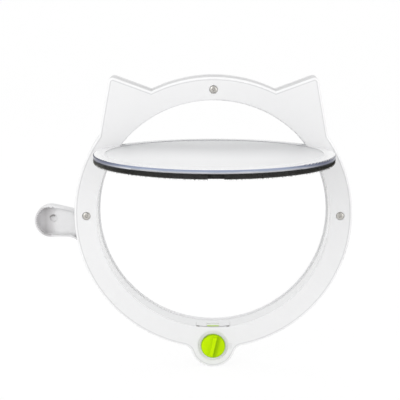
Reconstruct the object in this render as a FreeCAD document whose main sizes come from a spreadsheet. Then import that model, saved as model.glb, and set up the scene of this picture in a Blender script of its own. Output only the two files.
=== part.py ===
import FreeCAD, Part
import math
import os

import Sketcher
from FreeCAD import Placement, Rotation, Vector

# Cat flap: two cat-eared frames screwed together through a door leaf, a round flap on a chord hinge,
# and a turn knob whose pinion moves two latches.
# X to the right, Y from the room side (0) into the door, Z up. The origin is the centre of the
# opening on the room side face. Millimetres and degrees.

SIZES = [
    ("opening_radius", 100.4),
    ("ring_width", 19.6),
    ("rear_lip", 1.0),
    ("wall", 2.2),
    ("edge_radius", 1.8),
    ("mouth_radius", 0.8),
    ("front_depth", 14.0),
    ("frame_gap", 2.0),
    ("rear_depth", 9.0),
    ("rear_bevel", 1.2),
    ("spigot_clearance", 0.3),
    ("spigot_end_gap", 0.6),
    ("ear_valley_angle", 63.9),
    ("ear_base_angle", 35.6),
    ("ear_tip_angle", 53.86),
    ("ear_height", 29.6),
    ("ear_tip_radius", 4.0),
    ("lug_length", 22.0),
    ("lug_drop", 8.0),
    ("lug_radius", 14.3),
    ("lug_lean", 13.0),
    ("lug_flare_radius", 12.0),
    ("lug_floor_inset", 1.0),
    ("lug_floor_overlap", 3.0),
    ("lug_floor_step", 0.2),
    ("lug_floor_drop", 1.2),
    ("lug_dimple_inset", 1.7),
    ("lug_dimple_drop", 6.7),
    ("lug_dimple_radius", 3.4),
    ("lug_dimple_depth", 0.8),
    ("rib_thickness", 1.4),
    ("front_rib_setback", 1.2),
    ("rear_rib_setback", 0.5),
    ("rib_step_angle", 15.0),
    ("rib_ring_inset", 10.0),
    ("rib_ring_gap", 26.0),
    ("screw_inset", 10.5),
    ("screw_radius", 1.9),
    ("screw_clearance", 0.3),
    ("screw_head_radius", 3.3),
    ("screw_head_height", 1.5),
    ("screw_crown_radius", 1.9),
    ("screw_crown_height", 0.9),
    ("screw_seat_depth", 0.9),
    ("screw_end_gap", 0.5),
    ("screw_point", 0.6),
    ("boss_wall", 2.8),
    ("insert_outer_radius", 3.0),
    ("insert_length", 6.0),
    ("insert_clearance", 0.05),
    ("pivot_drop", 42.9),
    ("pivot_setback", 3.5),
    ("flap_gap", 2.0),
    ("flap_open_angle", 92.3),
    ("panel_thickness", 3.0),
    ("panel_edge_radius", 0.9),
    ("panel_border", 9.4),
    ("panel_field_depth", 0.5),
    ("seal_thickness", 4.4),
    ("seal_width", 8.4),
    ("seal_bevel", 0.8),
    ("notch_depth", 15.5),
    ("relief_start_depth", 4.6),
    ("relief_middle_depth", 1.9),
    ("relief_middle_drop", 21.5),
    ("relief_end_depth", 0.15),
    ("relief_end_drop", 34.0),
    ("notch_gap", 0.7),
    ("tooth_length", 2.9),
    ("tooth_inset", 1.2),
    ("tooth_corner_angle", 18.0),
    ("tooth_gap", 1.7),
    ("barrel_radius", 3.6),
    ("barrel_length", 14.0),
    ("barrel_gap", 0.5),
    ("pin_radius", 1.97),
    ("pin_length", 21.0),
    ("pin_fit", 0.03),
    ("pin_running_clearance", 0.08),
    ("pin_chamfer", 0.3),
    ("pin_end_gap", 1.0),
    ("pin_bottom_gap", 0.2),
    ("bush_outer_radius", 3.0),
    ("bush_length", 10.0),
    ("bush_inset", 0.1),
    ("bush_wall", 0.45),
    ("magnet_angle", 14.0),
    ("magnet_length", 12.0),
    ("magnet_width", 5.0),
    ("frame_magnet_depth", 8.0),
    ("frame_magnet_gap", 0.45),
    ("flap_magnet_depth", 2.4),
    ("magnet_clearance", 0.15),
    ("lock_inset", 2.9),
    ("bump_radius", 19.8),
    ("bump_flare_radius", 8.0),
    ("knob_radius", 10.7),
    ("knob_height", 2.8),
    ("knob_edge_radius", 0.8),
    ("knob_recess_radius", 13.2),
    ("knob_recess_depth", 0.6),
    ("knob_gap", 0.3),
    ("knob_hub_radius", 3.4),
    ("knob_running_clearance", 0.06),
    ("overlap", 0.5),
    ("grip_width", 4.6),
    ("grip_length", 18.6),
    ("grip_height", 2.8),
    ("grip_lean", 13.0),
    ("grip_draft", 12.0),
    ("grip_edge_radius", 0.5),
    ("pinion_teeth", 12),
    ("pinion_pitch_radius", 3.2),
    ("tooth_addendum", 0.5),
    ("tooth_dedendum", 0.65),
    ("tooth_backlash", 0.2),
    ("tooth_flank_angle", 22.0),
    ("rack_width", 2.5),
    ("rack_overtravel", 1.6),
    ("knob_travel_angle", 90.0),
    ("shaft_radius", 1.95),
    ("shaft_fit", 0.03),
    ("shaft_reach", 1.0),
    ("shaft_end_gap", 0.2),
    ("journal_radius", 2.4),
    ("journal_inset", 0.1),
    ("knob_screw_radius", 0.85),
    ("knob_screw_head_radius", 1.7),
    ("knob_screw_head_height", 0.9),
    ("knob_screw_clearance", 0.05),
    ("knob_screw_reach", 2.6),
    ("knob_pilot_gap", 0.8),
    ("latch_tip_width", 10.6),
    ("latch_tip_drop", 0.3),
    ("latch_clearance", 0.3),
    ("latch_inset", 1.2),
    ("seal_latch_gap", 0.9),
    ("bezel_half_angle", 8.5),
    ("bezel_end_angle", 0.1),
    ("bezel_gap", 0.1),
    ("rail_thickness", 1.4),
    ("rail_end_gap", 3.3),
    ("cover_thickness", 1.6),
    ("cover_gap", 0.4),
    ("cover_boss_radius", 2.4),
    ("cover_screw_spread", 13.0),
    ("cover_screw_radius", 0.95),
    ("cover_screw_fit", 0.05),
    ("cover_screw_clearance", 0.2),
    ("cover_screw_head_radius", 2.1),
    ("cover_screw_head_height", 0.8),
    ("cover_screw_length", 8.0),
]

doc = FreeCAD.newDocument("cat_flap")
sheet = doc.addObject("Spreadsheet::Sheet", "sizes")


class Size:
    """A length or angle with the sheet expression that gives it."""

    def __init__(self, value, text):
        self.value = float(value)
        self.text = text

    def _with(self, other, sign, value):
        return Size(value, "(%s %s %s)" % (self.text, sign, as_size(other).text))

    def __add__(self, other):
        return self._with(other, "+", self.value + as_size(other).value)

    def __radd__(self, other):
        return as_size(other) + self

    def __sub__(self, other):
        return self._with(other, "-", self.value - as_size(other).value)

    def __rsub__(self, other):
        return as_size(other) - self

    def __mul__(self, other):
        return self._with(other, "*", self.value * as_size(other).value)

    def __rmul__(self, other):
        return as_size(other) * self

    def __truediv__(self, other):
        return self._with(other, "/", self.value / as_size(other).value)

    def __rtruediv__(self, other):
        return as_size(other) / self

    def __neg__(self):
        return Size(-self.value, "(-1 * %s)" % self.text)


def as_size(number):
    return number if isinstance(number, Size) else Size(number, repr(float(number)))


def cos(angle):
    angle = as_size(angle)
    return Size(math.cos(math.radians(angle.value)), "cos(%s * 1 deg)" % angle.text)


def sin(angle):
    angle = as_size(angle)
    return Size(math.sin(math.radians(angle.value)), "sin(%s * 1 deg)" % angle.text)


def tan(angle):
    return sin(angle) / cos(angle)


def root(number):
    return Size(math.sqrt(number.value), "sqrt(%s)" % number.text)


def fill_sheet():
    """Write each driving dimension with its alias and return them by name."""
    found = {}
    for row, (name, value) in enumerate(SIZES, start=1):
        sheet.set("A%d" % row, name)
        sheet.set("B%d" % row, str(value))
        sheet.setAlias("B%d" % row, name)
        found[name] = Size(value, "sizes.%s" % name)
    doc.recompute()
    return found


class Named:
    """The driving dimensions as attributes."""

    def __init__(self, found):
        self.__dict__.update(found)


s = Named(fill_sheet())

# Places that follow the opening and the ring round it.
ring_outer = s.opening_radius + s.ring_width
ear_tip_x = (ring_outer + s.ear_height) * cos(s.ear_tip_angle)
ear_tip_z = (ring_outer + s.ear_height) * sin(s.ear_tip_angle)
lug_reach = ring_outer + s.lug_length
screw_circle = ring_outer - s.screw_inset
rib_circle = ring_outer - s.rib_ring_inset
lock_drop = ring_outer - s.lock_inset
pivot_height = s.opening_radius - s.pivot_drop
flap_radius = s.opening_radius - s.flap_gap
tooth_inner_x = root(s.opening_radius * s.opening_radius - pivot_height * pivot_height) - s.tooth_length

# Planes along the depth, and sizes that more than one piece uses.
rear_front_y = s.front_depth + s.frame_gap
total_depth = rear_front_y + s.rear_depth
rear_plate_y = total_depth - s.wall
spigot_outer = s.opening_radius + s.wall
spigot_end_y = rear_plate_y - s.spigot_end_gap
rear_spigot_inner = spigot_outer + s.spigot_clearance
rear_spigot_outer = rear_spigot_inner + s.wall
boss_radius = s.screw_radius + s.screw_clearance + s.boss_wall
flap_half = (s.panel_thickness + s.seal_thickness) / 2
pivot_depth = s.front_depth - s.pivot_setback
panel_front_y = pivot_depth - flap_half
panel_rear_y = panel_front_y + s.panel_thickness
seal_rear_y = panel_rear_y + s.seal_thickness
tooth_radius = s.notch_depth - s.tooth_gap
notch_x = tooth_inner_x - s.notch_gap
cover_y = s.front_depth - s.cover_thickness
front_latch_y = s.wall + s.latch_inset
front_latch_thickness = panel_front_y - s.latch_clearance - front_latch_y
rear_latch_y = panel_rear_y + s.latch_clearance
rear_latch_thickness = cover_y - s.latch_clearance - rear_latch_y
pinion_y = s.wall + s.latch_clearance / 2
pinion_end_y = cover_y - s.latch_clearance / 2
pinion_outer = s.pinion_pitch_radius + s.tooth_addendum
pinion_root = s.pinion_pitch_radius - s.tooth_dedendum
tooth_pitch = s.pinion_pitch_radius * (2 * math.pi) / s.pinion_teeth
latch_travel = s.pinion_pitch_radius * s.knob_travel_angle * (math.pi / 180)
rack_root_x = s.pinion_pitch_radius + s.tooth_dedendum
rack_outer_x = rack_root_x + s.rack_width
frame_magnet_r = spigot_outer + s.frame_magnet_gap
frame_magnet_y = s.wall * 1.5
pin_outer_x = tooth_inner_x + s.bush_length - s.pin_end_gap
beyond_flap = flap_radius + s.wall


def plane(body, role):
    return next(item for item in body.Origin.OriginFeatures if item.Role == role)


def new_body(label):
    body = doc.addObject("PartDesign::Body", label)
    body.Label = label
    return body


def sketch(body, name, role="XZ_Plane", at=0.0, down=0.0, turn=0.0):
    """A sketch on an origin plane. On XZ it lies at depth at, on YZ at x, on XY at z."""
    item = body.newObject("Sketcher::SketchObject", name)
    item.AttachmentSupport = (plane(body, role), [""])
    item.MapMode = "FlatFace"
    at = -as_size(at) if role == "XZ_Plane" else as_size(at)
    down, turn = as_size(down), as_size(turn)
    item.AttachmentOffset = Placement(
        Vector(0, -down.value, at.value), Rotation(Vector(0, 0, 1), turn.value)
    )
    item.setExpression("AttachmentOffset.Base.z", at.text)
    if down.value:
        item.setExpression("AttachmentOffset.Base.y", (-down).text)
    return item


def hold(item, geometry, point, x, y):
    """Hold one point of a sketch at x, y, both bound to the sheet."""
    for kind, axis, number in (("DistanceX", -2, as_size(x)), ("DistanceY", -1, as_size(y))):
        if number.value == 0:
            item.addConstraint(Sketcher.Constraint("PointOnObject", geometry, point, axis))
        else:
            index = item.addConstraint(Sketcher.Constraint(kind, -1, 1, geometry, point, number.value))
            item.setExpression("Constraints[%d]" % index, number.text)


def circle(item, radius, x=0.0, y=0.0):
    x, y, radius = as_size(x), as_size(y), as_size(radius)
    shape = Part.Circle(Vector(x.value, y.value, 0), Vector(0, 0, 1), radius.value)
    geometry = item.addGeometry(shape, False)
    hold(item, geometry, 3, x, y)
    index = item.addConstraint(Sketcher.Constraint("Radius", geometry, radius.value))
    item.setExpression("Constraints[%d]" % index, radius.text)


def polygon(item, corners):
    corners = [(as_size(x), as_size(y)) for x, y in corners]
    points = [Vector(x.value, y.value, 0) for x, y in corners]
    lines = []
    for start, end in zip(points, points[1:] + points[:1]):
        lines.append(item.addGeometry(Part.LineSegment(start, end), False))
    for line, following in zip(lines, lines[1:] + lines[:1]):
        item.addConstraint(Sketcher.Constraint("Coincident", line, 2, following, 1))
    for line, (x, y) in zip(lines, corners):
        hold(item, line, 1, x, y)


def box(item, x0, y0, x1, y1):
    polygon(item, [(x0, y0), (x1, y0), (x1, y1), (x0, y1)])


def backwards(profile, onward):
    """Whether a pad is reversed so that it grows along its plane's positive axis, or against it."""
    on_xz = profile.AttachmentSupport[0][0].Role == "XZ_Plane"
    return on_xz == onward


def pad(body, profile, length, onward=True, taper=None):
    """Add material onward, which on the XZ plane is into the door, or the other way."""
    item = body.newObject("PartDesign::Pad", profile.Name + "_pad")
    item.Profile = profile
    length = as_size(length)
    item.Length = length.value
    item.setExpression("Length", length.text)
    item.Reversed = backwards(profile, onward)
    if taper is not None:
        item.TaperAngle = taper.value
        item.setExpression("TaperAngle", taper.text)
    profile.Visibility = False
    return item


def pocket(body, profile, length=None, onward=True):
    """Cut onward from the sketch or the other way, or without a length through everything."""
    item = body.newObject("PartDesign::Pocket", profile.Name + "_cut")
    item.Profile = profile
    if length is None:
        item.Type = 1
        item.Midplane = True
    else:
        length = as_size(length)
        item.Length = length.value
        item.setExpression("Length", length.text)
        item.Reversed = not backwards(profile, onward)
    return item


def mirrored(body, features, name):
    item = body.newObject("PartDesign::Mirrored", name)
    item.Originals = features
    item.MirrorPlane = (plane(body, "YZ_Plane"), [""])
    body.Tip = item


def polar(body, feature, name, angle, count, reverse=False):
    """Repeat a feature about the Y axis, count times over the angle."""
    angle, count = as_size(angle), as_size(count)
    item = body.newObject("PartDesign::PolarPattern", name)
    item.Originals = [feature]
    item.Axis = (plane(body, "Y_Axis"), [""])
    item.Angle = angle.value
    item.setExpression("Angle", angle.text)
    item.Occurrences = round(count.value)
    item.setExpression("Occurrences", "round(%s)" % count.text)
    item.Reversed = reverse
    body.Tip = item


def turned(label, profile):
    """A turned piece along its own Z, from its half section as radius, height pairs."""
    body = new_body(label)
    section = sketch(body, label + "_section", "XZ_Plane")
    polygon(section, profile)
    item = body.newObject("PartDesign::Revolution", label + "_turn")
    item.Profile = section
    item.ReferenceAxis = (section, ["V_Axis"])
    item.Angle = 360
    return body


def place(body, x=0.0, y=0.0, z=0.0, axis=None, angle=0.0):
    x, y, z, angle = as_size(x), as_size(y), as_size(z), as_size(angle)
    turn = Rotation() if axis is None else Rotation(Vector(*axis), angle.value)
    body.Placement = Placement(Vector(x.value, y.value, z.value), turn)
    for name, number in (("x", x), ("y", y), ("z", z)):
        body.setExpression("Placement.Base.%s" % name, number.text)
    if axis is not None:
        body.setExpression("Placement.Rotation.Angle", angle.text)


def edge_names(shape, test):
    return ["Edge%d" % index for index, edge in enumerate(shape.Edges, start=1) if test(edge)]


def round_edges(body, base, radius, test, name):
    """Round the edges of the base feature that pass the test."""
    doc.recompute()
    item = body.newObject("PartDesign::Fillet", name)
    item.Base = (base, edge_names(base.Shape, test))
    item.Radius = radius.value
    item.setExpression("Radius", radius.text)
    return item


def bevel_edges(body, base, size, test, name):
    """Bevel the edges of the base feature that pass the test."""
    doc.recompute()
    item = body.newObject("PartDesign::Chamfer", name)
    item.Base = (base, edge_names(base.Shape, test))
    item.Size = size.value
    item.setExpression("Size", size.text)
    return item


def start_of(edge):
    return edge.valueAt(edge.FirstParameter)


def lies_at_depth(edge, depth):
    first, last = edge.ParameterRange
    steps = [first + (last - first) * share / 4.0 for share in range(5)]
    return all(abs(edge.valueAt(step).y - depth.value) < 1e-4 for step in steps)


def runs_deep(edge):
    """True for a straight edge along Y."""
    start, end = start_of(edge), edge.valueAt(edge.LastParameter)
    return abs(start.x - end.x) < 1e-6 and abs(start.z - end.z) < 1e-6


def radius_of(edge):
    """How far the start of an edge lies from the centre of the opening."""
    return math.hypot(start_of(edge).x, start_of(edge).z)


def stands_on_ring(edge):
    return runs_deep(edge) and abs(radius_of(edge) - ring_outer.value) < 0.5


def shell_outline(body, start, depth):
    """The disc with two ears that both frames share."""
    disc = sketch(body, body.Label + "_disc", at=start)
    circle(disc, ring_outer)
    pad(body, disc, depth)
    ears = sketch(body, body.Label + "_ears", at=start)
    for side in (1.0, -1.0):
        valley = (side * ring_outer * cos(s.ear_valley_angle),
                  ring_outer * sin(s.ear_valley_angle))
        base = (side * ring_outer * cos(s.ear_base_angle),
                ring_outer * sin(s.ear_base_angle))
        polygon(ears, [valley, (side * ear_tip_x, ear_tip_z), base])
    ears_pad = pad(body, ears, depth)
    round_edges(body, ears_pad, s.ear_tip_radius,
                lambda edge: runs_deep(edge) and start_of(edge).z > ear_tip_z.value - 0.1,
                body.Label + "_tips")


def hollow(body, base, open_depth, name):
    """Hollow the solid to an even wall, open on the flat face at open_depth."""
    doc.recompute()
    item = body.newObject("PartDesign::Thickness", name)
    faces = []
    for index, face in enumerate(base.Shape.Faces, start=1):
        if all(lies_at_depth(edge, open_depth) for edge in face.Edges):
            faces.append("Face%d" % index)
    item.Base = (base, faces)
    item.Value = s.wall.value
    item.setExpression("Value", s.wall.text)
    item.Reversed = True
    return item


def screw_places():
    """Sideways and upward place of each frame screw: top, left and right."""
    return {
        "top": (as_size(0.0), screw_circle),
        "left": (-screw_circle, as_size(0.0)),
        "right": (screw_circle, as_size(0.0)),
    }


def circles_at_screws(body, name, depth, radius):
    item = sketch(body, name, at=depth)
    for x, z in screw_places().values():
        circle(item, radius, x, z)
    return item


def radial_rib(body, name, at, turn, inner, outer, height, onward):
    item = sketch(body, name, at=at, turn=turn)
    box(item, -s.rib_thickness / 2, -outer, s.rib_thickness / 2, -inner)
    return pad(body, item, height, onward)


def add_ribs(body, at, height, inner, onward):
    """A stiffening ring half way across the channel, and a rib into each ear."""
    ring = sketch(body, body.Label + "_rib_ring", at=at)
    circle(ring, rib_circle + s.rib_thickness / 2)
    circle(ring, rib_circle - s.rib_thickness / 2)
    pad(body, ring, height, onward)
    ear_angle = math.degrees(math.atan2(ear_tip_x.value, ear_tip_z.value))
    reach = root(ear_tip_x * ear_tip_x + ear_tip_z * ear_tip_z) - s.ear_tip_radius
    for name, side in (("left", 1.0), ("right", -1.0)):
        radial_rib(body, "%s_ear_rib_%s" % (body.Label, name), at, 180.0 + side * ear_angle,
                   inner, reach, height, onward)


def make_front_frame():
    body = new_body("front_frame")
    shell_outline(body, 0.0, s.front_depth)
    bump = sketch(body, "front_bump")
    circle(bump, s.bump_radius, 0.0, -lock_drop)
    bump_pad = pad(body, bump, s.front_depth)
    round_edges(body, bump_pad, s.bump_flare_radius,
                lambda edge: stands_on_ring(edge) and start_of(edge).z < -s.opening_radius.value,
                "front_flare")
    bore = sketch(body, "front_bore")
    circle(bore, s.opening_radius)
    bore_cut = pocket(body, bore)
    shell = hollow(body, bore_cut, s.front_depth, "front_shell")
    face, middle = as_size(0.0), (ring_outer + s.opening_radius).value / 2
    rim = round_edges(body, shell, s.edge_radius,
                      lambda edge: lies_at_depth(edge, face) and radius_of(edge) > middle,
                      "front_rim")
    round_edges(body, rim, s.mouth_radius,
                lambda edge: lies_at_depth(edge, face) and radius_of(edge) < middle,
                "front_mouth")
    spigot = sketch(body, "front_spigot", at=s.front_depth - s.wall)
    circle(spigot, spigot_outer)
    circle(spigot, s.opening_radius)
    pad(body, spigot, spigot_end_y - s.front_depth + s.wall)
    add_hinge_teeth(body)
    add_front_ribs(body)
    cut_bush_seats(body)
    add_screw_bosses(body)
    add_magnet_boxes(body)
    add_lock_housing(body)


def add_hinge_teeth(body):
    """Fixed teeth that fill the notches beside the flap's hinge, with a boss for each bush."""
    tooth = sketch(body, "hinge_tooth", "YZ_Plane", at=tooth_inner_x)
    top = root(s.opening_radius * s.opening_radius - tooth_inner_x * tooth_inner_x)
    reach = pivot_depth - s.tooth_inset
    side = pivot_height - root(tooth_radius * tooth_radius - reach * reach)
    low = pivot_height - tooth_radius * cos(s.tooth_corner_angle)
    half = tooth_radius * sin(s.tooth_corner_angle)
    polygon(tooth, [
        (pivot_depth - reach, top),
        (pivot_depth - reach, side),
        (pivot_depth - half, low),
        (pivot_depth + half, low),
        (pivot_depth + reach, side),
        (pivot_depth + reach, top),
    ])
    end_x = root(spigot_outer * spigot_outer - low * low)
    tooth_pad = pad(body, tooth, end_x - tooth_inner_x)
    mirrored(body, [tooth_pad], "hinge_teeth")
    trim = sketch(body, "tooth_trim", at=total_depth)
    circle(trim, ring_outer - s.wall * 1.5)
    circle(trim, spigot_outer)
    pocket(body, trim, total_depth - s.wall, onward=False)
    boss = sketch(body, "bush_boss", "YZ_Plane", at=tooth_inner_x + s.wall)
    circle(boss, s.bush_outer_radius + s.bush_wall, pivot_depth, pivot_height)
    boss_pad = pad(body, boss, s.bush_length + s.bush_inset + s.bush_wall - s.wall)
    mirrored(body, [boss_pad], "bush_bosses")


def cut_bush_seats(body):
    hole = sketch(body, "bush_hole", "YZ_Plane", at=tooth_inner_x)
    circle(hole, s.bush_outer_radius, pivot_depth, pivot_height)
    hole_cut = pocket(body, hole, s.bush_length + s.bush_inset)
    mirrored(body, [hole_cut], "bush_seats")


def add_screw_bosses(body):
    bosses = circles_at_screws(body, "front_bosses", s.wall / 2, boss_radius)
    pad(body, bosses, s.front_depth - s.wall / 2)
    holes = circles_at_screws(body, "front_screw_holes", 0.0, s.screw_radius + s.screw_clearance)
    pocket(body, holes)
    seats = circles_at_screws(body, "front_screw_seats", 0.0, s.screw_head_radius + s.screw_clearance)
    pocket(body, seats, s.screw_seat_depth)


def add_front_ribs(body):
    at = s.wall / 2
    height = s.front_depth - s.front_rib_setback - at
    add_ribs(body, at, height, ring_outer - s.wall, True)
    gap = sketch(body, "latch_way", at=s.wall)
    box(gap, -s.rib_ring_gap, -(rib_circle + s.rib_thickness), s.rib_ring_gap,
        -(spigot_outer + s.rib_thickness))
    pocket(body, gap, s.front_depth)
    rib = radial_rib(body, "front_rib", at, s.rib_step_angle, s.opening_radius + s.wall / 2,
                     ring_outer - s.wall / 2, height, True)
    polar(body, rib, "front_ribs", 360.0 - 2 * s.rib_step_angle, 360.0 / s.rib_step_angle - 1,
          reverse=True)


def magnet_box(body, name, sign, grow, start):
    """Outline of a magnet seat beside the spigot, grown by a margin."""
    item = sketch(body, name, at=start, turn=sign * s.magnet_angle)
    half = s.magnet_length / 2 + grow
    box(item, -half, -(frame_magnet_r + s.magnet_width + grow), half, -(frame_magnet_r - grow))
    return item


def add_magnet_boxes(body):
    for name, sign in (("left", -1.0), ("right", 1.0)):
        block = magnet_box(body, "magnet_block_" + name, sign, s.rib_thickness, s.wall / 2)
        pad(body, block, s.frame_magnet_depth + s.wall * 2)
    for name, sign in (("left", -1.0), ("right", 1.0)):
        seat = magnet_box(body, "magnet_seat_" + name, sign, s.magnet_clearance, frame_magnet_y)
        pocket(body, seat, s.front_depth)


def add_lock_housing(body):
    recess = sketch(body, "knob_recess")
    circle(recess, s.knob_recess_radius, 0.0, -lock_drop)
    pocket(body, recess, s.knob_recess_depth)
    bearing = sketch(body, "knob_bearing")
    circle(bearing, s.knob_hub_radius + s.knob_running_clearance, 0.0, -lock_drop)
    pocket(body, bearing, s.wall * 2)
    rails = sketch(body, "latch_rails", at=s.wall / 2)
    inner = rack_outer_x + s.latch_clearance
    low = -(lock_drop + s.bump_radius - s.wall - s.rail_end_gap)
    high = -(spigot_outer + s.wall / 2)
    for sign in (1.0, -1.0):
        box(rails, sign * inner, low, sign * (inner + s.rail_thickness), high)
    pad(body, rails, cover_y - s.wall / 2)
    bosses = sketch(body, "cover_bosses", at=s.wall / 2)
    holes = sketch(body, "cover_boss_holes", at=cover_y)
    for sign in (1.0, -1.0):
        middle = sign * s.cover_screw_spread
        circle(bosses, s.cover_boss_radius, middle, -lock_drop)
        circle(holes, s.cover_screw_radius + s.cover_screw_fit, middle, -lock_drop)
    pad(body, bosses, cover_y - s.wall / 2)
    pocket(body, holes, s.cover_screw_length, onward=False)
    opening = sketch(body, "bezel_seat", "YZ_Plane")
    box(opening, s.wall + s.bezel_gap, -(spigot_outer + s.bezel_gap),
        s.front_depth - s.bezel_gap, -(s.opening_radius - s.bezel_gap))
    groove = body.newObject("PartDesign::Groove", "bezel_seat_cut")
    groove.Profile = opening
    groove.ReferenceAxis = (opening, ["H_Axis"])
    angle = 2 * (s.bezel_half_angle + s.bezel_end_angle)
    groove.Angle = angle.value
    groove.setExpression("Angle", angle.text)
    groove.Midplane = True


def make_rear_frame():
    body = new_body("rear_frame")
    shell_outline(body, rear_front_y, s.rear_depth)
    lug_end = sketch(body, "lug_end", at=rear_front_y)
    circle(lug_end, s.lug_radius, -lug_reach, -s.lug_drop)
    pad(body, lug_end, s.rear_depth)
    neck = sketch(body, "lug_neck", at=rear_front_y)
    inside = ring_outer - s.wall * 3
    high_x = s.lug_radius * sin(s.lug_lean) - lug_reach
    high_z = s.lug_radius * cos(s.lug_lean) - s.lug_drop
    polygon(neck, [
        (high_x, high_z),
        (-inside, high_z - (-inside - high_x) * tan(s.lug_lean)),
        (-inside, -(s.lug_radius + s.lug_drop)),
        (-lug_reach, -(s.lug_radius + s.lug_drop)),
        (-lug_reach, -s.lug_drop),
    ])
    neck_pad = pad(body, neck, s.rear_depth)
    flare = round_edges(body, neck_pad, s.lug_flare_radius,
                        lambda edge: stands_on_ring(edge) and start_of(edge).x < 0
                        and start_of(edge).z < -s.lug_radius.value, "lug_flare")
    shell = hollow(body, flare, rear_front_y, "rear_shell")
    bevel_edges(body, shell, s.rear_bevel,
                lambda edge: lies_at_depth(edge, total_depth), "rear_rim")
    bore = sketch(body, "rear_bore", at=total_depth)
    circle(bore, s.opening_radius - s.rear_lip)
    pocket(body, bore)
    spigot = sketch(body, "rear_spigot", at=rear_front_y)
    circle(spigot, rear_spigot_outer)
    circle(spigot, rear_spigot_inner)
    pad(body, spigot, s.rear_depth - s.wall / 2)
    bosses = circles_at_screws(body, "rear_bosses", rear_front_y, boss_radius)
    pad(body, bosses, s.rear_depth - s.wall / 2)
    at = total_depth - s.wall / 2
    height = at - s.rear_rib_setback - rear_front_y
    add_ribs(body, at, height, ring_outer - s.wall, False)
    rib = radial_rib(body, "rear_rib", at, s.rib_step_angle / 2, rear_spigot_outer - s.wall / 2,
                     ring_outer - s.wall / 2, height, False)
    polar(body, rib, "rear_ribs", 360.0, 360.0 / s.rib_step_angle)
    add_lug_floor(body)
    seats = circles_at_screws(body, "insert_seats", rear_front_y, s.insert_outer_radius)
    pocket(body, seats, s.insert_length + s.insert_clearance)
    dimple = sketch(body, "lug_dimple", at=rear_front_y)
    circle(dimple, s.lug_dimple_radius, s.lug_dimple_inset - lug_reach, -s.lug_dimple_drop)
    pocket(body, dimple, rear_plate_y + s.lug_dimple_depth - rear_front_y)


def add_lug_floor(body):
    """The lug's floor, deepest near its end and rising evenly to the ring."""
    low = -(s.lug_drop + s.lug_radius - s.wall / 2)
    ends = []
    for name, x, floor in (
            ("deep", lug_reach - s.lug_floor_inset, rear_plate_y - s.lug_floor_step),
            ("high", ring_outer - s.lug_floor_overlap, rear_front_y + s.lug_floor_drop)):
        section = sketch(body, "lug_floor_" + name, "YZ_Plane", at=-x)
        past_tangent = lug_reach - s.lug_radius * sin(s.lug_lean) - x
        high = s.lug_radius * cos(s.lug_lean) - s.lug_drop - past_tangent * tan(s.lug_lean)
        box(section, floor, low, total_depth - s.wall / 2, high - s.wall / 2)
        ends.append(section)
    loft = body.newObject("PartDesign::AdditiveLoft", "lug_floor")
    loft.Profile = ends[0]
    loft.Sections = [ends[1]]
    loft.Ruled = True
    body.Tip = loft


def make_screws():
    """Long screws from the room side, each into a brass insert in the rear frame."""
    head_top = s.screw_seat_depth - s.screw_head_height
    length = rear_front_y + s.insert_length - s.screw_end_gap - head_top
    for name, (x, z) in screw_places().items():
        screw = turned("screw_" + name, [
            (0.0, 0.0),
            (s.screw_crown_radius, 0.0),
            (s.screw_head_radius, s.screw_crown_height),
            (s.screw_head_radius, s.screw_head_height),
            (s.screw_radius, s.screw_head_height),
            (s.screw_radius, length - s.screw_point),
            (s.screw_radius - s.screw_point, length),
            (0.0, length),
        ])
        place(screw, x, head_top, z, (1, 0, 0), -90.0)
        insert = turned("insert_" + name, [
            (s.screw_radius, 0.0),
            (s.insert_outer_radius, 0.0),
            (s.insert_outer_radius, s.insert_length),
            (s.screw_radius, s.insert_length),
        ])
        place(insert, x, rear_front_y + s.insert_clearance, z, (1, 0, 0), -90.0)


def make_bushes_and_pins():
    for name, sign in (("left", -1.0), ("right", 1.0)):
        bush = turned("hinge_bush_" + name, [
            (s.pin_radius + s.pin_running_clearance, 0.0),
            (s.bush_outer_radius, 0.0),
            (s.bush_outer_radius, s.bush_length),
            (s.pin_radius + s.pin_running_clearance, s.bush_length),
        ])
        place(bush, sign * (tooth_inner_x + s.bush_inset), pivot_depth, pivot_height,
              (0, 1, 0), sign * 90.0)
        pin = turned("hinge_pin_" + name, [
            (0.0, 0.0),
            (s.pin_radius - s.pin_chamfer, 0.0),
            (s.pin_radius, s.pin_chamfer),
            (s.pin_radius, s.pin_length - s.pin_chamfer),
            (s.pin_radius - s.pin_chamfer, s.pin_length),
            (0.0, s.pin_length),
        ])
        place(pin, sign * (pin_outer_x - s.pin_length), pivot_depth, pivot_height,
              (0, 1, 0), sign * 90.0)


def place_on_flap(body):
    """Flap pieces are drawn hanging, with the pivot axis at their origin, and then swung open."""
    place(body, 0.0, pivot_depth, pivot_height, (-1, 0, 0), s.flap_open_angle)


def flap_edge_x(drop):
    """Half the flap's width, drop below the pivot."""
    height = pivot_height - drop
    return root(flap_radius * flap_radius - height * height)


def cut_notches(body, name, start, length):
    """Cut the outline back beside the hinge so that it clears the tunnel as it swings."""
    item = sketch(body, name, at=start)
    relief_start = flap_edge_x(s.notch_depth) - s.relief_start_depth
    relief_middle = flap_edge_x(s.relief_middle_drop) - s.relief_middle_depth
    relief_end = flap_edge_x(s.relief_end_drop) - s.relief_end_depth
    for sign in (1.0, -1.0):
        polygon(item, [
            (sign * notch_x, s.notch_depth),
            (sign * notch_x, -s.notch_depth),
            (sign * relief_start, -s.notch_depth),
            (sign * relief_middle, -s.relief_middle_drop),
            (sign * relief_end, -s.relief_end_drop),
            (sign * beyond_flap, -s.relief_end_drop),
            (sign * beyond_flap, s.notch_depth),
        ])
    pocket(body, item, length)


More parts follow.
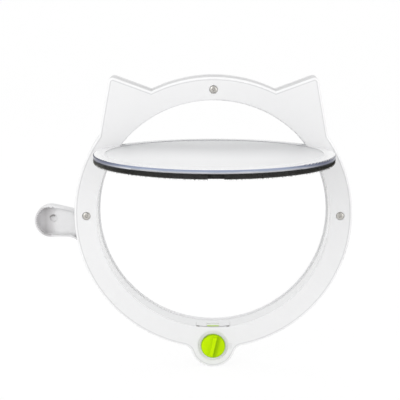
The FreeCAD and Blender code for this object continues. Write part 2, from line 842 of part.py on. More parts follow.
def make_flap_panel():
    body = new_body("flap_panel")
    disc = sketch(body, "panel_disc", at=-flap_half)
    circle(disc, flap_radius, 0.0, -pivot_height)
    disc_pad = pad(body, disc, s.panel_thickness)
    round_edges(body, disc_pad, s.panel_edge_radius,
                lambda edge: lies_at_depth(edge, -flap_half), "panel_rim")
    field = sketch(body, "panel_field", at=-flap_half)
    circle(field, flap_radius - s.panel_border, 0.0, -pivot_height)
    pocket(body, field, s.panel_field_depth)
    cut_notches(body, "panel_notches", -flap_half, s.panel_thickness)
    barrel = sketch(body, "panel_barrel", "YZ_Plane", at=notch_x - s.barrel_length)
    circle(barrel, s.barrel_radius)
    barrel_pad = pad(body, barrel, s.barrel_length)
    bore = sketch(body, "pin_bore", "YZ_Plane", at=notch_x)
    circle(bore, s.pin_radius + s.pin_fit)
    depth = s.pin_length - (pin_outer_x - notch_x) + s.pin_bottom_gap
    bore_cut = pocket(body, bore, depth, onward=False)
    mirrored(body, [barrel_pad, bore_cut], "panel_barrels")
    place_on_flap(body)


def seal_ring(label):
    """Full ring behind the panel with its rear edges bevelled."""
    body = new_body(label)
    section = sketch(body, label + "_section", "YZ_Plane", down=pivot_height)
    start, end, bevel = s.panel_thickness - flap_half, flap_half, s.seal_bevel
    outer, inner = flap_radius, flap_radius - s.seal_width
    polygon(section, [
        (start, outer),
        (end - bevel, outer),
        (end, outer - bevel),
        (end, inner + bevel),
        (end - bevel, inner),
        (start, inner),
    ])
    ring = body.newObject("PartDesign::Revolution", label + "_turn")
    ring.Profile = section
    ring.ReferenceAxis = (section, ["H_Axis"])
    ring.Angle = 360
    return body


def make_flap_seals():
    """Dark rim behind the panel, in a lower and an upper arc either side of the hinge barrels."""
    start = s.panel_thickness - flap_half
    lower = seal_ring("flap_seal_lower")
    cut = sketch(lower, "lower_seal_end", at=start)
    box(cut, -beyond_flap, -s.notch_depth, beyond_flap, flap_radius)
    pocket(lower, cut, s.seal_thickness)
    cut_notches(lower, "seal_notches", start, s.seal_thickness)
    gap = sketch(lower, "latch_gap", at=start, down=pivot_height)
    half = s.latch_tip_width / 2 + s.seal_latch_gap
    box(gap, -half, -beyond_flap, half, -(s.opening_radius - latch_travel - s.wall))
    pocket(lower, gap, s.seal_thickness)
    for name, sign in (("left", -1.0), ("right", 1.0)):
        seat = flap_magnet_outline(lower, "flap_magnet_seat_" + name, sign, s.magnet_clearance, start)
        pocket(lower, seat, s.flap_magnet_depth + s.magnet_clearance)
    place_on_flap(lower)
    upper = seal_ring("flap_seal_upper")
    cut = sketch(upper, "upper_seal_end", at=start)
    box(cut, -beyond_flap, -beyond_flap * 2, beyond_flap, s.barrel_radius + s.barrel_gap)
    pocket(upper, cut, s.seal_thickness)
    place_on_flap(upper)


def flap_magnet_outline(body, name, sign, grow, start):
    item = sketch(body, name, at=start, down=pivot_height, turn=sign * s.magnet_angle)
    middle = flap_radius - s.seal_width / 2
    half = s.magnet_length / 2 + grow
    tall = s.magnet_width / 2 + grow
    box(item, -half, -(middle + tall), half, -(middle - tall))
    return item


def make_magnets():
    for name, sign in (("left", -1.0), ("right", 1.0)):
        body = new_body("frame_magnet_" + name)
        outline = magnet_box(body, "frame_magnet_outline_" + name, sign, 0.0, frame_magnet_y)
        pad(body, outline, s.frame_magnet_depth)
        body = new_body("flap_magnet_" + name)
        start = s.panel_thickness - flap_half
        outline = flap_magnet_outline(body, "flap_magnet_outline_" + name, sign, 0.0, start)
        pad(body, outline, s.flap_magnet_depth)
        place_on_flap(body)


def make_lock_knob():
    """Round knob with a leaning grip bar; its hub turns in the front plate."""
    body = new_body("lock_knob")
    back = s.knob_recess_depth - s.knob_gap
    front = back - s.knob_height
    disc = sketch(body, "knob_disc", at=front)
    circle(disc, s.knob_radius)
    disc_pad = pad(body, disc, s.knob_height)
    round_edges(body, disc_pad, s.knob_edge_radius,
                lambda edge: lies_at_depth(edge, front), "knob_rim")
    hub = sketch(body, "knob_hub", at=back - s.overlap)
    circle(hub, s.knob_hub_radius)
    pad(body, hub, s.wall - back + s.overlap)
    grip = sketch(body, "knob_grip", at=front + s.overlap, turn=-s.grip_lean)
    box(grip, -s.grip_width / 2, -s.grip_length / 2, s.grip_width / 2, s.grip_length / 2)
    grip_pad = pad(body, grip, s.grip_height + s.overlap, onward=False, taper=-s.grip_draft)
    top = front - s.grip_height
    round_edges(body, grip_pad, s.grip_edge_radius,
                lambda edge: lies_at_depth(edge, top), "grip_top")
    bore = sketch(body, "knob_bore", at=s.wall)
    circle(bore, s.shaft_radius + s.shaft_fit)
    pocket(body, bore, s.wall + s.shaft_reach + s.shaft_end_gap, onward=False)
    pilot = sketch(body, "knob_pilot", at=s.wall)
    circle(pilot, s.knob_screw_radius)
    pocket(body, pilot, s.wall + s.knob_screw_reach + s.knob_pilot_gap, onward=False)
    place(body, 0.0, 0.0, -lock_drop)


def make_pinion():
    """Toothed shaft behind the knob, and the screw that holds the two together."""
    body = new_body("lock_pinion")
    core = sketch(body, "pinion_core", at=pinion_y)
    circle(core, pinion_root)
    pad(body, core, pinion_end_y - pinion_y)
    tooth = sketch(body, "pinion_tooth", at=pinion_y)
    half_root = tooth_half(-s.tooth_dedendum)
    half_tip = tooth_half(s.tooth_addendum)
    polygon(tooth, [
        (pinion_root - s.overlap, -half_root),
        (pinion_root, -half_root),
        (s.pinion_pitch_radius, -tooth_half(0.0)),
        (pinion_outer, -half_tip),
        (pinion_outer, half_tip),
        (s.pinion_pitch_radius, tooth_half(0.0)),
        (pinion_root, half_root),
        (pinion_root - s.overlap, half_root),
    ])
    tooth_pad = pad(body, tooth, pinion_end_y - pinion_y)
    polar(body, tooth_pad, "pinion_teeth", 360.0, s.pinion_teeth)
    shaft = sketch(body, "pinion_shaft", at=-s.shaft_reach)
    circle(shaft, s.shaft_radius)
    pad(body, shaft, pinion_y + s.shaft_reach + s.overlap)
    journal = sketch(body, "pinion_journal", at=pinion_end_y - s.overlap)
    circle(journal, s.journal_radius)
    journal_end = s.front_depth - s.journal_inset
    pad(body, journal, journal_end - pinion_end_y + s.overlap)
    hole = sketch(body, "pinion_hole")
    circle(hole, s.knob_screw_radius + s.knob_screw_clearance)
    pocket(body, hole)
    seat = sketch(body, "pinion_screw_seat", at=journal_end)
    circle(seat, s.knob_screw_head_radius + s.knob_screw_clearance)
    pocket(body, seat, s.knob_screw_head_height, onward=False)
    place(body, 0.0, 0.0, -lock_drop)
    length = journal_end + s.knob_screw_reach
    screw = turned("knob_screw", [
        (0.0, 0.0),
        (s.knob_screw_head_radius, 0.0),
        (s.knob_screw_head_radius, s.knob_screw_head_height),
        (s.knob_screw_radius, s.knob_screw_head_height),
        (s.knob_screw_radius, length - s.screw_point),
        (0.0, length),
    ])
    place(screw, 0.0, journal_end, -lock_drop, (1, 0, 0), 90.0)


def tooth_half(height):
    """Half the thickness of a tooth, height above its pitch line."""
    at_pitch = (tooth_pitch / 2 - s.tooth_backlash) / 2
    return at_pitch - as_size(height) * tan(s.tooth_flank_angle)


def make_latch(label, sign, start, thickness):
    """A bar with a wide tip and a rack down one side. sign is the side of the rack."""
    body = new_body(label)
    tip_top = -(s.opening_radius + s.latch_tip_drop)
    stem_low = -(lock_drop - pinion_outer - latch_travel - s.latch_clearance)
    shoulder = -(spigot_outer + latch_travel + s.latch_clearance)
    half = s.latch_tip_width / 2
    low = -(lock_drop + latch_travel + s.rack_overtravel)
    outline = sketch(body, label + "_outline", at=start)
    polygon(outline, [
        (-sign * half, tip_top),
        (sign * half, tip_top),
        (sign * half, shoulder),
        (sign * rack_outer_x, shoulder),
        (sign * rack_outer_x, low),
        (sign * rack_root_x, low),
        (sign * rack_root_x, stem_low),
        (-sign * half, stem_low),
    ])
    pad(body, outline, thickness)
    teeth = round((latch_travel.value + s.rack_overtravel.value) / tooth_pitch.value)
    for count in range(-teeth, teeth):
        tooth = sketch(body, "%s_tooth_%d" % (label, count + teeth), at=start)
        middle = (count + 0.5) * tooth_pitch - lock_drop
        half_root, half_tip = tooth_half(-s.tooth_dedendum), tooth_half(s.tooth_addendum)
        tip_x = s.pinion_pitch_radius - s.tooth_addendum
        polygon(tooth, [
            (sign * (rack_root_x + s.overlap), middle - half_root),
            (sign * (rack_root_x + s.overlap), middle + half_root),
            (sign * rack_root_x, middle + half_root),
            (sign * tip_x, middle + half_tip),
            (sign * tip_x, middle - half_tip),
            (sign * rack_root_x, middle - half_root),
        ])
        pad(body, tooth, thickness)


def make_bezel():
    """Curved plate let into the tunnel floor, with a slot for each latch."""
    body = new_body("latch_bezel")
    section = sketch(body, "bezel_section", "YZ_Plane")
    box(section, s.wall + s.bezel_gap * 2, -spigot_outer, s.front_depth - s.bezel_gap * 2,
        -s.opening_radius)
    item = body.newObject("PartDesign::Revolution", "bezel_turn")
    item.Profile = section
    item.ReferenceAxis = (section, ["H_Axis"])
    item.Angle = 2 * s.bezel_half_angle.value
    item.setExpression("Angle", (2 * s.bezel_half_angle).text)
    item.Midplane = True
    half = s.latch_tip_width / 2 + s.latch_clearance
    for name, start, thickness in (("front", front_latch_y, front_latch_thickness),
                                   ("rear", rear_latch_y, rear_latch_thickness)):
        slot = sketch(body, name + "_slot", "XY_Plane", at=-s.opening_radius)
        box(slot, -half, start - s.latch_clearance, half, start + thickness + s.latch_clearance)
        pocket(body, slot)


def make_lock_cover():
    body = new_body("lock_cover")
    plate = sketch(body, "cover_plate", at=cover_y)
    circle(plate, s.bump_radius - s.wall - s.cover_gap, 0.0, -lock_drop)
    pad(body, plate, s.cover_thickness)
    clear = sketch(body, "cover_spigot_clearance", at=cover_y)
    circle(clear, spigot_outer + s.cover_gap)
    pocket(body, clear, s.cover_thickness)
    bearing = sketch(body, "cover_bearing", at=cover_y)
    circle(bearing, s.journal_radius + s.knob_running_clearance, 0.0, -lock_drop)
    pocket(body, bearing)
    for name, radius, depth in (
            ("cover_screw_holes", s.cover_screw_radius, s.cover_thickness),
            ("cover_screw_seats", s.cover_screw_head_radius, s.cover_screw_head_height)):
        holes = sketch(body, name, at=s.front_depth)
        for sign in (1.0, -1.0):
            circle(holes, radius + s.cover_screw_clearance, sign * s.cover_screw_spread,
                   -lock_drop)
        pocket(body, holes, depth, onward=False)
    for name, sign in (("left", -1.0), ("right", 1.0)):
        screw = turned("cover_screw_" + name, [
            (0.0, 0.0),
            (s.cover_screw_head_radius, 0.0),
            (s.cover_screw_head_radius, s.cover_screw_head_height),
            (s.cover_screw_radius, s.cover_screw_head_height),
            (s.cover_screw_radius, s.cover_screw_length - s.screw_point),
            (0.0, s.cover_screw_length),
        ])
        place(screw, sign * s.cover_screw_spread, s.front_depth, -lock_drop, (1, 0, 0), 90.0)


def export_all():
    doc.recompute()
    for item in doc.Objects:
        if "Invalid" in item.State or "Error" in item.State:
            raise RuntimeError("%s: %s" % (item.Label, item.State))
    os.makedirs("parts", exist_ok=True)
    for body in doc.findObjects("PartDesign::Body"):
        shape = body.Shape
        if shape.isNull() or not shape.isValid():
            raise RuntimeError("%s has no valid shape" % body.Label)
        shape.exportStep("parts/%s.step" % body.Label)
        print("%-18s solids %d volume %.1f" % (body.Label, len(shape.Solids), shape.Volume))


make_front_frame()
make_rear_frame()
make_screws()
make_bushes_and_pins()
make_flap_panel()
make_flap_seals()
make_magnets()
make_lock_knob()
make_pinion()
make_latch("latch_front", 1.0, front_latch_y, front_latch_thickness)
make_latch("latch_rear", -1.0, rear_latch_y, rear_latch_thickness)
make_bezel()
make_lock_cover()
export_all()
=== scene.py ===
import math

import bmesh
import bpy
from mathutils import Matrix, Vector


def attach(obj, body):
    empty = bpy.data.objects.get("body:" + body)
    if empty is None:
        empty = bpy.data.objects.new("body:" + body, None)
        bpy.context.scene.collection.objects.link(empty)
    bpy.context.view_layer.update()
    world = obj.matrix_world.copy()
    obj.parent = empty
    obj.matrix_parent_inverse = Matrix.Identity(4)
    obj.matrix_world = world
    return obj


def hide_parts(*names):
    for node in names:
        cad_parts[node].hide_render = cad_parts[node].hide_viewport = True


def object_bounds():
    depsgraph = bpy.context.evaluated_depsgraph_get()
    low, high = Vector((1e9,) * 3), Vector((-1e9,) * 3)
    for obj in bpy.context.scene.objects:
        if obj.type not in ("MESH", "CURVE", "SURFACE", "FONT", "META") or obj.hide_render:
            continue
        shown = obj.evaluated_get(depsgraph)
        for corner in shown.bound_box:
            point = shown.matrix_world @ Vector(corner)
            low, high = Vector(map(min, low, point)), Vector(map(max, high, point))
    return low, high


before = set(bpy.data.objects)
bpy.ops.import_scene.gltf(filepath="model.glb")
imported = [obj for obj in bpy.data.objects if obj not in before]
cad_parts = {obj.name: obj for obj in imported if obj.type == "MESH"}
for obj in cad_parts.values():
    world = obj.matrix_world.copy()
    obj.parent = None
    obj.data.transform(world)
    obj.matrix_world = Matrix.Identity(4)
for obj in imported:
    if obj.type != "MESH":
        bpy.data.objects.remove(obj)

cadBounds = [list(corner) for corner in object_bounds()]
scene = bpy.context.scene
scene.view_settings.view_transform = "Standard"
mergeDistance = 2e-6


# Small helpers for objects and nodes

def linkObject(name, data):
    made = bpy.data.objects.new(name, data)
    scene.collection.objects.link(made)
    return made


def meshFrom(form, name):
    mesh = bpy.data.meshes.new(name)
    form.to_mesh(mesh)
    form.free()
    return mesh


def rgba(colour):
    return tuple(colour) + (1.0,)


def feed(tree, socket, source):
    # the source is another node's output or a plain value
    if isinstance(source, bpy.types.NodeSocket):
        tree.links.new(source, socket)
    else:
        socket.default_value = source


def addNode(tree, kind, inputs=None, **settings):
    # inputs are given by the socket's name or number
    node = tree.nodes.new(kind)
    for name, value in settings.items():
        setattr(node, name, value)
    for key, source in (inputs or {}).items():
        feed(tree, node.inputs[key], source)
    return node


def addMath(tree, operation, *sources, clamp=False):
    node = addNode(tree, "ShaderNodeMath", dict(enumerate(sources)), operation=operation,
                   use_clamp=clamp)
    return node.outputs[0]


def addRange(tree, source, ends, smooth=False, to=(0.0, 1.0)):
    # from to[0] at the first end to to[1] at the second
    node = addNode(tree, "ShaderNodeMapRange", {
        "Value": source, "From Min": ends[0], "From Max": ends[1], "To Min": to[0],
        "To Max": to[1]}, interpolation_type="SMOOTHSTEP" if smooth else "LINEAR")
    return node.outputs["Result"]


def addMix(tree, share, first, second):
    # colours; the two ends are sockets 6 and 7 of the node
    node = addNode(tree, "ShaderNodeMix", data_type="RGBA")
    for key, source in (("Factor", share), (6, first), (7, second)):
        feed(tree, node.inputs[key], source)
    return node.outputs[2]


def addNoise(tree, place, scale, detail):
    return addNode(tree, "ShaderNodeTexNoise", {
        "Vector": place, "Scale": scale, "Detail": detail}).outputs["Fac"]


def addWobble(tree, place, scale, detail, spread):
    # slow noise, spread evenly to both sides of zero
    noise = addNoise(tree, place, scale, detail)
    return addMath(tree, "MULTIPLY_ADD", noise, spread, -spread / 2)


def objectPlace(tree):
    return addNode(tree, "ShaderNodeTexCoord").outputs["Object"]


def splitPlace(tree, place):
    return addNode(tree, "ShaderNodeSeparateXYZ", {"Vector": place}).outputs


def newGroup(kind, name, inputs, outputs):
    # sockets are given as label, kind and, for some inputs, a first value
    group = bpy.data.node_groups.new(name, kind)
    for label, socketKind, *value in inputs:
        socket = group.interface.new_socket(label, in_out="INPUT",
                                            socket_type="NodeSocket" + socketKind)
        if value:
            socket.default_value = value[0]
    for label, socketKind in outputs:
        group.interface.new_socket(label, in_out="OUTPUT", socket_type="NodeSocket" + socketKind)
    return group, group.nodes.new("NodeGroupInput").outputs, \
        group.nodes.new("NodeGroupOutput").inputs


# Camera, room and lamps

cameraSetup = {
    "elevation": 11.97,            # degrees above the horizon
    "azimuth": -0.11,
    "distance": 1.05,
    "target": (-0.0115, 0.0, 0.01422),
    "lens": 109.85,
    "sensor": 36.0,
    "clipEnd": 20.0,
}

def makeCamera():
    up = math.radians(cameraSetup["elevation"])
    turn = math.radians(cameraSetup["azimuth"])
    back = Vector((math.sin(turn) * math.cos(up), -math.cos(turn) * math.cos(up), math.sin(up)))
    data = bpy.data.cameras.new("photoCamera")
    data.lens = cameraSetup["lens"]
    data.sensor_width = cameraSetup["sensor"]
    data.clip_end = cameraSetup["clipEnd"]
    camera = linkObject("photoCamera", data)
    camera.location = Vector(cameraSetup["target"]) + back * cameraSetup["distance"]
    camera.rotation_euler = back.to_track_quat("Z", "Y").to_euler()
    scene.camera = camera


roomSetup = {
    "floorWidth": 8.0,
    "floorFront": -2.6,
    "wallStart": 1.6,              # where the floor curves up, metres behind the object
    "wallRadius": 0.9,
    "wallHeight": 3.2,
    "curveSteps": 16,
    "floorColour": (0.93, 0.93, 0.93),
    "glow": 0.88,                  # share of plain white that the camera sees in the floor
    "glowStrength": 1.03,
    "worldLight": 0.74,
    "worldColour": (1.0, 1.0, 1.0),
}

def makeRoom():
    r = roomSetup
    floorZ = cadBounds[0][2]
    profile = [(r["floorFront"], floorZ)]
    for step in range(r["curveSteps"] + 1):
        angle = math.radians(90.0 * step / r["curveSteps"])
        profile.append((r["wallStart"] + r["wallRadius"] * math.sin(angle),
                        floorZ + r["wallRadius"] * (1 - math.cos(angle))))
    profile.append((r["wallStart"] + r["wallRadius"], r["wallHeight"]))
    half = r["floorWidth"] / 2
    points = [(side * half, y, z) for y, z in profile for side in (-1, 1)]
    faces = [(2 * i, 2 * i + 1, 2 * i + 3, 2 * i + 2) for i in range(len(profile) - 1)]
    mesh = bpy.data.meshes.new("paleFloor")
    mesh.from_pydata(points, [], faces)
    mesh.shade_smooth()
    linkObject("paleFloor", mesh)

    material = bpy.data.materials.new("palePaper")
    material.use_nodes = True
    tree = material.node_tree
    tree.nodes.clear()
    path = addNode(tree, "ShaderNodeLightPath").outputs
    seen = addMath(tree, "MAXIMUM", path["Is Camera Ray"], path["Is Glossy Ray"])
    share = addMath(tree, "MULTIPLY", seen, r["glow"])
    diffuse = addNode(tree, "ShaderNodeBsdfDiffuse", {"Color": rgba(r["floorColour"])})
    glow = addNode(tree, "ShaderNodeEmission", {"Strength": r["glowStrength"]})
    mix = addNode(tree, "ShaderNodeMixShader", {
        "Fac": share, 1: diffuse.outputs[0], 2: glow.outputs[0]})
    addNode(tree, "ShaderNodeOutputMaterial", {"Surface": mix.outputs[0]})
    mesh.materials.append(material)

    world = bpy.data.worlds.new("softRoom")
    scene.world = world
    world.use_nodes = True
    tree = world.node_tree
    path = addNode(tree, "ShaderNodeLightPath").outputs
    background = tree.nodes["Background"]
    background.inputs["Color"].default_value = rgba(r["worldColour"])
    feed(tree, background.inputs["Strength"], addRange(
        tree, path["Is Camera Ray"], (0.0, 1.0), to=(r["worldLight"], r["glowStrength"])))


lampSetup = [
    # name, place, size, watts
    ("keyPanel", (-1.1, -1.5, 0.75), 1.2, 10.0),
    ("fillPanel", (1.3, -1.3, 0.1), 1.2, 8.0),
    ("topPanel", (-0.2, 0.7, 1.4), 1.0, 2.8),
]

def makeLamps():
    for name, place, size, power in lampSetup:
        data = bpy.data.lights.new(name, "AREA")
        data.size = size
        data.energy = power
        lamp = linkObject(name, data)
        lamp.location = place
        lamp.rotation_euler = Vector(place).to_track_quat("Z", "Y").to_euler()


makeCamera()
makeRoom()
makeLamps()
print("camera, room and lamps are set")


# Shader groups

grainSetup = {
    "detail": 3.0,
    "height": 0.0001,              # of the grain's bumps, metres
    "slowScale": 34.0,             # of the slow changes of gloss
    "slowDetail": 4.0,
    "cloudDetail": 5.0,            # of the soft tones
}

def mouldGrainGroup():
    # fine eroded mould texture and slow changes of gloss
    group, given, result = newGroup("ShaderNodeTree", "mouldGrain", [
        ("Grain Scale", "Float", 2600.0), ("Grain Depth", "Float", 0.1),
        ("Gloss", "Float", 0.35), ("Gloss Spread", "Float", 0.06)],
        [("Roughness", "Float"), ("Normal", "Vector")])
    place = objectPlace(group)
    grain = addNoise(group, place, given["Grain Scale"], grainSetup["detail"])
    bump = addNode(group, "ShaderNodeBump", {
        "Height": grain, "Distance": grainSetup["height"], "Strength": given["Grain Depth"]})
    slow = addNoise(group, place, grainSetup["slowScale"], grainSetup["slowDetail"])
    centred = addMath(group, "SUBTRACT", slow, 0.5)
    gloss = addMath(group, "MULTIPLY_ADD", centred, given["Gloss Spread"], given["Gloss"])
    feed(group, result["Roughness"], gloss)
    feed(group, result["Normal"], bump.outputs["Normal"])
    return group


def softToneGroup():
    # two close tones of one colour in slow clouds
    group, given, result = newGroup("ShaderNodeTree", "softTone", [
        ("Light", "Color", rgba((0.9, 0.9, 0.9))), ("Dark", "Color", rgba((0.85, 0.85, 0.85))),
        ("Cloud Scale", "Float", 12.0)], [("Colour", "Color")])
    cloud = addNoise(group, objectPlace(group), given["Cloud Scale"], grainSetup["cloudDetail"])
    feed(group, result["Colour"], addMix(group, cloud, given["Light"], given["Dark"]))
    return group


mouldGrain = mouldGrainGroup()
softTone = softToneGroup()


# Materials

plainFinish = {"spread": 0.05, "depth": 0.1, "metallic": 0.0, "coat": 0.0, "shine": 0.3,
               "cloud": 12.0, "coatGloss": 0.06}      # where a finish says nothing else
finishes = {
    # light and dark tone, gloss and its spread, grain depth, coat, plain shine, cloud scale
    "satinWhite": {"light": (0.848, 0.848, 0.852), "dark": (0.832, 0.832, 0.837), "gloss": 0.36,
                   "depth": 0.12, "shine": 0.4},
    "tunnelWhite": {"light": (0.86, 0.862, 0.866), "dark": (0.84, 0.843, 0.848), "gloss": 0.16,
                    "spread": 0.04, "depth": 0.03, "coat": 0.3, "shine": 0.5},
    "rearWhite": {"light": (0.82, 0.82, 0.826), "dark": (0.8, 0.8, 0.808), "gloss": 0.4,
                  "depth": 0.14, "shine": 0.35},
    # painted highlight: a brighter white for the rounding of the front frame's rim and of the
    # panel's top edge
    "rimWhite": {"light": (0.95, 0.95, 0.955), "dark": (0.93, 0.93, 0.937), "gloss": 0.3,
                 "spread": 0.04, "depth": 0.05, "coat": 0.1, "shine": 0.5},
    # painted shade: a grey for the line inside the front frame's rim and for the turn marks
    "rimLine": {"light": (0.72, 0.72, 0.727), "dark": (0.69, 0.69, 0.697), "gloss": 0.45,
                "spread": 0.04, "depth": 0.05},
    # painted shade: a grey for the outer side wall of the front frame
    "sideWhite": {"light": (0.70, 0.70, 0.705), "dark": (0.67, 0.67, 0.675), "gloss": 0.4,
                  "spread": 0.04, "shine": 0.35},
    "limeKnob": {"light": (0.56, 0.85, 0.001), "dark": (0.52, 0.80, 0.001), "gloss": 0.42,
                 "spread": 0.06, "depth": 0.08, "shine": 0.05},
    # painted shade: a darker lime for the grip's flank, the knob's edge and the band beside the
    # grip
    "limeShade": {"light": (0.37, 0.60, 0.001), "dark": (0.33, 0.55, 0.001), "gloss": 0.42,
                  "spread": 0.06, "depth": 0.08, "shine": 0.05},
    # painted shade: dark olive for the shadow in the knob's notch
    "oliveNotch": {"light": (0.20, 0.26, 0.01), "dark": (0.16, 0.21, 0.01), "gloss": 0.5,
                   "shine": 0.2},
    "zincSteel": {"light": (0.62, 0.60, 0.57), "dark": (0.47, 0.46, 0.43), "gloss": 0.34,
                  "spread": 0.14, "depth": 0.12, "metallic": 1.0, "shine": 0.5},
    "pinSteel": {"light": (0.66, 0.67, 0.68), "dark": (0.58, 0.59, 0.6), "gloss": 0.2,
                 "depth": 0.02, "metallic": 1.0, "shine": 0.5},
    "warmBrass": {"light": (0.72, 0.55, 0.25), "dark": (0.6, 0.45, 0.2), "gloss": 0.28,
                  "spread": 0.08, "metallic": 1.0, "shine": 0.5},
    "naturalPlastic": {"light": (0.74, 0.72, 0.66), "dark": (0.7, 0.68, 0.62), "gloss": 0.42,
                       "depth": 0.08, "shine": 0.4},
    "blackSeal": {"light": (0.024, 0.025, 0.024), "dark": (0.012, 0.012, 0.013), "gloss": 0.5,
                  "spread": 0.1, "depth": 0.3},
    # painted shade: grey for the shadow in the slot plate's seam
    "seamGrey": {"light": (0.50, 0.50, 0.50), "dark": (0.44, 0.44, 0.44), "gloss": 0.5,
                 "spread": 0.04, "depth": 0.05},
    # painted shade: dark for the slot plate's seam ends and for the arc at the lug's dimple
    "seamDark": {"light": (0.33, 0.33, 0.32), "dark": (0.28, 0.28, 0.27), "gloss": 0.5,
                 "spread": 0.04, "depth": 0.05},
    # painted shade: a pale grey for the ring in the seam at the tunnel's rear lip
    "greyFoam": {"light": (0.93, 0.93, 0.935), "dark": (0.88, 0.88, 0.885), "gloss": 0.75,
                 "spread": 0.1, "depth": 0.5, "shine": 0.2},
}

def startMaterial(name, given):
    # mould grain and the shader's plain values; what makes the colour goes to the last result
    values = {**plainFinish, **given}
    material = bpy.data.materials.new(name)
    material.use_nodes = True
    tree = material.node_tree
    grain = addNode(tree, "ShaderNodeGroup", {
        "Grain Depth": values["depth"], "Gloss": values["gloss"],
        "Gloss Spread": values["spread"]}, node_tree=mouldGrain)
    shader = tree.nodes["Principled BSDF"].inputs
    feed(tree, shader["Roughness"], grain.outputs["Roughness"])
    feed(tree, shader["Normal"], grain.outputs["Normal"])
    shader["Metallic"].default_value = values["metallic"]
    shader["Coat Weight"].default_value = values["coat"]
    shader["Coat Roughness"].default_value = values["coatGloss"]
    shader["Specular IOR Level"].default_value = values["shine"]
    return material, tree, shader["Base Color"]


def addTone(tree, values):
    return addNode(tree, "ShaderNodeGroup", {
        "Light": rgba(values["light"]), "Dark": rgba(values["dark"]),
        "Cloud Scale": values.get("cloud", plainFinish["cloud"])},
        node_tree=softTone).outputs["Colour"]


def edgeRamp(tree, share, colours, positions):
    ramp = addNode(tree, "ShaderNodeValToRGB", {"Fac": share})
    stops = ramp.color_ramp.elements
    for position in positions[2:]:
        stops.new(position)
    for stop, position, colour in zip(stops, sorted(positions), colours):
        stop.position, stop.color = position, rgba(colour)
    return ramp.outputs["Color"]


finish = {}
for name, values in finishes.items():
    finish[name], tree, colour = startMaterial(name, values)
    feed(tree, colour, addTone(tree, values))


# The clear panel: its field, its border and its edge

panelSetup = {
    "pivot": (0.0, 0.0105, 0.0575),
    "openAngle": 92.3,             # degrees from hanging to where the photograph shows it
    "radius": 0.0984,
    "centreDrop": 0.0575,          # from the pivot to the middle of the disc
    "frontFace": -0.0037,          # through the thickness, from the pivot, when it hangs
    "thickness": 0.003,
    "fieldRadius": 0.0890,
    "fieldStep": 0.0002,           # the field lies deeper than the border
    "fieldLean": -0.5,
    "edgeBand": 0.0013,            # how far in from the radius the edge and its rounding reach
    "edgeLean": 0.86,
    "rimLean": -0.995,
    # painted shade and reflection toward the hinge, and painted light to the left, on the field
    "hingeShade": (0.70, 0.705, 0.715),
    "fieldFront": (0.94, 0.943, 0.95),
    "hingeShadeFade": (-0.015, -0.105),  # down the hanging flap
    "leftLightSlope": -1.3,             # lighter to the left, per metre
    "fieldCloud": (14.0, 3.0, 0.22),      # scale, detail and spread
    "border": (0.95, 0.952, 0.958),
    # painted shade: the border darkens toward the hinge
    "borderShade": (0.76, 0.765, 0.775),
    "borderShadeFade": (-0.018, -0.046),      # down the hanging flap
    "edgeCloud": (60.0, 2.0, 0.3),
    # painted refraction and highlight through the edge's thickness, darker toward both ends
    "edgeRefractionColours": ((0.30, 0.34, 0.46), (0.40, 0.45, 0.56), (0.76, 0.775, 0.82)),
    "edgeStops": (0.3, 0.55, 0.72),      # through the thickness, from the front face
    "endRefractionColours": ((0.055, 0.06, 0.10), (0.09, 0.10, 0.18), (0.11, 0.12, 0.16)),
    "endStops": (0.2, 0.5, 1.0),
    # painted light: the edge is lightest left of its middle
    "edgeLightShift": 0.004,            # the lightest place of the edge is left of its middle
    "ends": (0.050, 0.094),        # how far out the edge starts to darken, and is darkest
}
hang = Matrix.Translation(panelSetup["pivot"]) @ Matrix.Rotation(
    math.radians(-panelSetup["openAngle"]), 4, "X")     # from the hanging flap to its open pose
backToHanging = hang.inverted()
discCentre = hang @ Vector((0.0, 0.0, -panelSetup["centreDrop"]))
discAxis = (hang.to_3x3() @ Vector((0.0, 1.0, 0.0))).normalized()
hangingDown = hang.to_3x3() @ Vector((0.0, 0.0, -1.0))

def hangingPlace(tree):
    # object coordinates turned back to the hanging flap, so patterns follow its own directions
    turn = addNode(tree, "ShaderNodeMapping", {
        "Vector": objectPlace(tree), "Location": backToHanging.to_translation(),
        "Rotation": backToHanging.to_euler()})
    return turn.outputs["Vector"], splitPlace(tree, turn.outputs["Vector"])


def panelValues(gloss, coat=0.0, shine=0.5):
    return {"gloss": gloss, "spread": 0.03, "depth": 0.0, "coat": coat, "shine": shine}


def makeFieldFinish():
    # clear plastic in slow clouds, with painted shade and reflection darker toward the hinge and
    # painted light to the left
    p = panelSetup
    material, tree, colour = startMaterial("fieldPaintedShade", panelValues(0.34))
    place, apart = hangingPlace(tree)
    down = addRange(tree, apart["Z"], p["hingeShadeFade"], smooth=True)
    cloud = addWobble(tree, place, *p["fieldCloud"])
    across = addMath(tree, "MULTIPLY_ADD", apart["X"], p["leftLightSlope"], cloud)
    share = addMath(tree, "ADD", down, across, clamp=True)
    feed(tree, colour, addMix(tree, share, rgba(p["hingeShade"]), rgba(p["fieldFront"])))
    return material


def makeEdgeFinish():
    # painted refraction and highlight on the edge of clear plastic: blue grey on top and a light
    # line below, dark toward both ends
    p = panelSetup
    material, tree, colour = startMaterial("clearEdge", panelValues(0.2, shine=0.2))
    place, apart = hangingPlace(tree)
    depth = addRange(tree, apart["Y"], (p["frontFace"], p["frontFace"] + p["thickness"]))
    share = addMath(tree, "ADD", depth, addWobble(tree, place, *p["edgeCloud"]))
    middle = edgeRamp(tree, share, p["edgeRefractionColours"], p["edgeStops"])
    ends = edgeRamp(tree, share, p["endRefractionColours"], p["endStops"])
    width = addMath(tree, "ABSOLUTE", addMath(tree, "ADD", apart["X"], p["edgeLightShift"]))
    feed(tree, colour, addMix(tree, addRange(tree, width, p["ends"], smooth=True), middle, ends))
    return material


